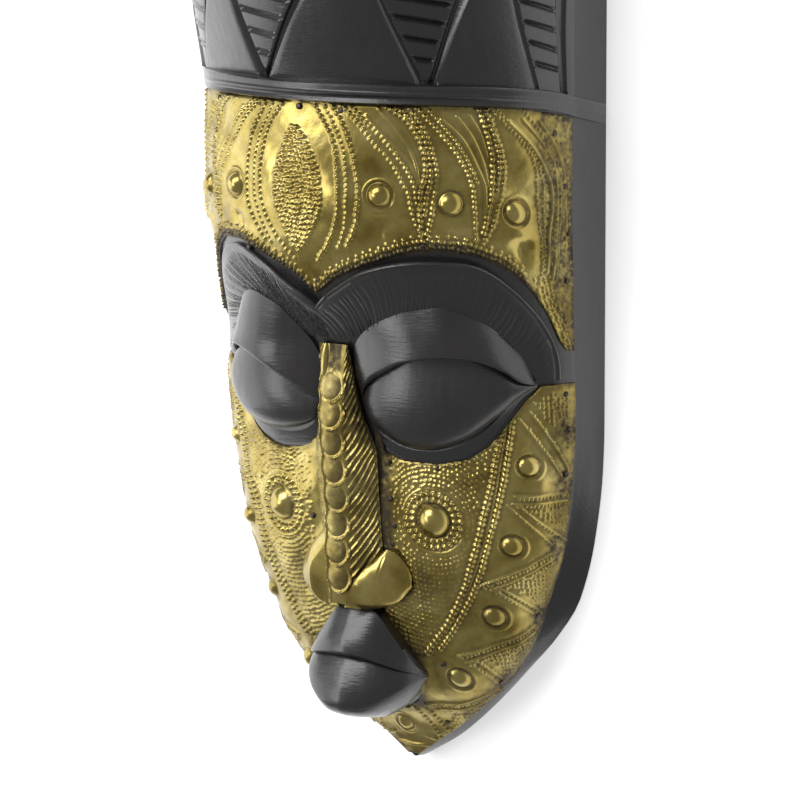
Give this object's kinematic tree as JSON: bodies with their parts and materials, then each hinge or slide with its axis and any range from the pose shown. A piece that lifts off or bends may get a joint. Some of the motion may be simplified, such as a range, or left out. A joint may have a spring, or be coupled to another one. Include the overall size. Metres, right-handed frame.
{
  "type": "wooden wall mask",
  "caption": "Carved dark wooden wall mask with a ribbed headdress, closed heavy-lidded eyes and embossed brass sheet nailed over the forehead, cheeks, chin and nose",
  "frame": {"origin": "middle of the footprint, on the plane of the flat back rim", "axes": "+Y runs from the chin to the top of the headdress, +Z comes straight out of the face, +X is the mask's own left"},
  "size_m": [0.18, 0.42, 0.111],
  "materials": {
    "wood": "dark stained, satin",
    "brass": "embossed sheet, aged in the hollows",
    "nails": "dark oxidised panel pins"
  },
  "bodies": {
    "root": {"wooden_mask": "wood", "forehead_sheet": "brass", "cheek_and_chin_sheet": "brass", "nose_sheet": "brass", "nostril_cover_left": "brass", "nostril_cover_right": "brass", "forehead_nail_1": "nails", "forehead_nail_2": "nails", "forehead_nail_3": "nails", "forehead_nail_4": "nails", "forehead_nail_5": "nails", "forehead_nail_6": "nails", "forehead_nail_7": "nails", "forehead_nail_8": "nails", "cheek_nail_1": "nails", "cheek_nail_2": "nails", "cheek_nail_3": "nails", "cheek_nail_4": "nails", "cheek_nail_5": "nails", "cheek_nail_6": "nails", "cheek_nail_7": "nails", "cheek_nail_8": "nails"}
  },
  "joints": []
}
